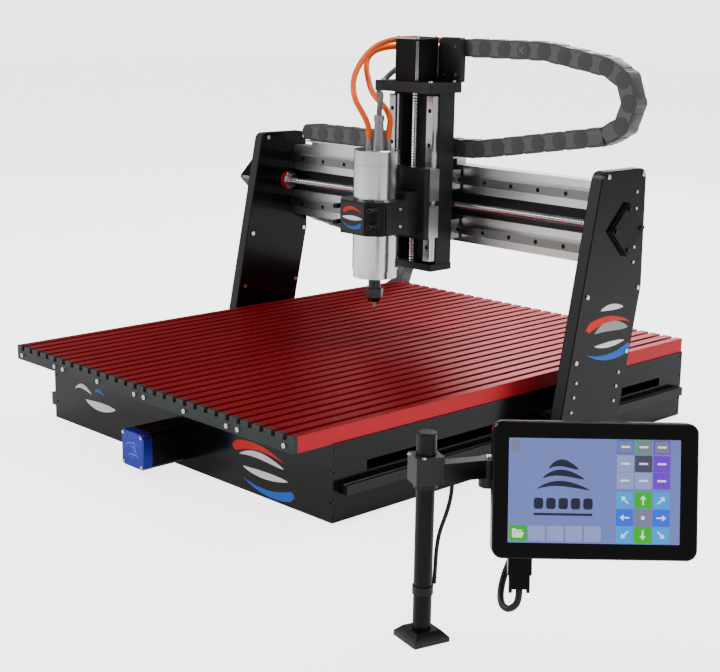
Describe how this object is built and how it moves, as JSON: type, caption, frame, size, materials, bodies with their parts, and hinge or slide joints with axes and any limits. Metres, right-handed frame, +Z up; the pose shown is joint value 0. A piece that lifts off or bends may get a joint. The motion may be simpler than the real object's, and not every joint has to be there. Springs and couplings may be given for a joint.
{
  "type": "cnc router",
  "caption": "Moving-gantry CNC router with a red T-slot bed, liquid-cooled spindle, ball-screw axes, cable chains and a touch-screen pendant on a pole.",
  "frame": {"origin": "centre of the chassis underside", "axes": "+X to the right seen from the front, +Y to the back along the bed, +Z up"},
  "size_m": [1.4682, 1.1271, 0.6709],
  "materials": {
    "red_anodised": "satin anodised red",
    "dark_plate": "satin dark green-black",
    "black_sheet": "glossy black powder coat",
    "black_satin": "satin black",
    "brushed_aluminium": "brushed",
    "rail_steel": "ground",
    "screw_steel": "bright zinc",
    "motor_black": "satin black",
    "motor_blue": "anodised blue",
    "chain_plastic": "matt black",
    "hose_orange": "satin orange",
    "cable_grey": "matt grey",
    "cable_black": "matt black",
    "spindle_steel": "turned",
    "tablet_black": "gloss black",
    "cutter_carbide": "ground carbide"
  },
  "bodies": {
    "root": {"bed_panels_outer": "red_anodised", "bed_panels_inner": "red_anodised", "end_plates": "dark_plate", "bed_screws": "screw_steel", "bed_supports": "brushed_aluminium", "side_profiles": "black_sheet", "end_panels": "black_sheet", "bottom_pan": "black_sheet", "y_rails": "rail_steel", "y_motor": "motor_black", "y_motor_cap": "motor_blue", "y_screw_bearings": "black_satin", "y_chain_lower": "chain_plastic", "y_chain_tray": "black_sheet", "side_box": "black_satin", "pendant_stand": "black_satin", "pole_cable": "cable_black"},
    "y_drive_screw": {"y_screw": "rail_steel"},
    "gantry": {"uprights": "black_satin", "upright_covers": "black_sheet", "cover_screws": "screw_steel", "beam": "brushed_aluminium", "x_rails": "rail_steel", "x_screw_bearings": "black_satin", "x_motor": "motor_black", "y_bearing_blocks": "black_satin", "tie_bar": "brushed_aluminium", "y_nut": "brushed_aluminium", "x_chain_lower": "chain_plastic", "y_chain_upper": "chain_plastic"},
    "x_drive_screw": {"x_screw": "rail_steel"},
    "x_carriage": {"z_frame": "black_satin", "z_rails": "rail_steel", "z_top_plate": "black_satin", "z_bottom_plate": "black_satin", "x_bearing_blocks": "brushed_aluminium", "x_nut": "brushed_aluminium", "z_motor": "motor_black", "chain_bracket": "black_satin", "x_chain_upper": "chain_plastic"},
    "z_drive_screw": {"z_screw": "rail_steel"},
    "z_carriage": {"saddle_plate": "black_satin", "z_bearing_blocks": "brushed_aluminium", "spindle_clamp": "black_satin", "clamp_cap": "black_satin", "spindle_housing": "spindle_steel", "spindle_fittings": "brushed_aluminium", "hose_left": "hose_orange", "hose_right": "hose_orange", "spindle_cable": "cable_grey"},
    "spindle_rotor": {"collet_nut": "black_satin", "cutter": "cutter_carbide"},
    "x_bend_low": {"x_chain_bend_lower": "chain_plastic"},
    "x_bend_high": {"x_chain_bend_upper": "chain_plastic"},
    "y_bend_low": {"y_chain_bend_lower": "chain_plastic"},
    "y_bend_high": {"y_chain_bend_upper": "chain_plastic"},
    "pendant_arm_body": {"pendant_arm": "black_satin"},
    "pendant_forearm_body": {"pendant_forearm": "black_satin"},
    "pendant_tablet_body": {"pendant_tablet": "tablet_black", "pendant_cable": "cable_black"}
  },
  "joints": [
    {"name": "y_slide", "type": "slide", "parent": "root", "child": "gantry", "axis": [0, 1, 0], "range_m": [-0.395, 0.24], "deforming": ["y_chain_lower", "y_chain_upper", "y_chain_bend_lower", "y_chain_bend_upper"]},
    {"name": "x_slide", "type": "slide", "parent": "gantry", "child": "x_carriage", "axis": [1, 0, 0], "range_m": [-0.31, 0.31], "deforming": ["x_chain_lower", "x_chain_upper", "x_chain_bend_lower", "x_chain_bend_upper"]},
    {"name": "z_slide", "type": "slide", "parent": "x_carriage", "child": "z_carriage", "axis": [0, 0, 1], "range_m": [-0.049, 0.12], "deforming": ["hose_left", "hose_right", "spindle_cable"]},
    {"name": "y_screw_turn", "type": "hinge", "parent": "root", "child": "y_drive_screw", "pos_m": [0, 0, 0.043], "axis": [0, 1, 0], "range_deg": [-40000, 40000]},
    {"name": "x_screw_turn", "type": "hinge", "parent": "gantry", "child": "x_drive_screw", "pos_m": [0, 0.147, 0.3775], "axis": [1, 0, 0], "range_deg": [-40000, 40000]},
    {"name": "z_screw_turn", "type": "hinge", "parent": "x_carriage", "child": "z_drive_screw", "pos_m": [0, 0.095, 0.4], "axis": [0, 0, 1], "range_deg": [-40000, 40000]},
    {"name": "spindle_turn", "type": "hinge", "parent": "z_carriage", "child": "spindle_rotor", "pos_m": [0, 0.001, 0.24], "axis": [0, 0, 1], "continuous": true},
    {"name": "x_bend_low_slide", "type": "slide", "parent": "gantry", "child": "x_bend_low", "axis": [1, 0, 0], "range_m": [-0.16, 0.16]},
    {"name": "x_bend_high_slide", "type": "slide", "parent": "x_carriage", "child": "x_bend_high", "axis": [1, 0, 0], "range_m": [-0.16, 0.16]},
    {"name": "y_bend_low_slide", "type": "slide", "parent": "root", "child": "y_bend_low", "axis": [0, 1, 0], "range_m": [-0.2, 0.125]},
    {"name": "y_bend_high_slide", "type": "slide", "parent": "gantry", "child": "y_bend_high", "axis": [0, 1, 0], "range_m": [-0.125, 0.2]},
    {"name": "arm_swivel", "type": "hinge", "parent": "root", "child": "pendant_arm_body", "pos_m": [0.712, -0.612, 0.21], "axis": [0, 0, 1], "range_deg": [-70, 60]},
    {"name": "elbow", "type": "hinge", "parent": "pendant_arm_body", "child": "pendant_forearm_body", "pos_m": [0.745, -0.54, 0.187], "axis": [0, 0, 1], "range_deg": [-35, 60]},
    {"name": "tablet_pan", "type": "hinge", "parent": "pendant_forearm_body", "child": "pendant_tablet_body", "pos_m": [0.83696, -0.47116, 0.187], "axis": [0, 0, 1], "range_deg": [-8, 25]}
  ],
  "couplings": [
    {"joint": "y_screw_turn", "follows": "y_slide", "rad_per_m": 1256.6},
    {"joint": "x_screw_turn", "follows": "x_slide", "rad_per_m": 1256.6},
    {"joint": "z_screw_turn", "follows": "z_slide", "rad_per_m": 1256.6},
    {"joint": "x_bend_low_slide", "follows": "x_slide", "ratio": 0.5},
    {"joint": "x_bend_high_slide", "follows": "x_slide", "ratio": -0.5},
    {"joint": "y_bend_low_slide", "follows": "y_slide", "ratio": 0.5},
    {"joint": "y_bend_high_slide", "follows": "y_slide", "ratio": -0.5}
  ]
}
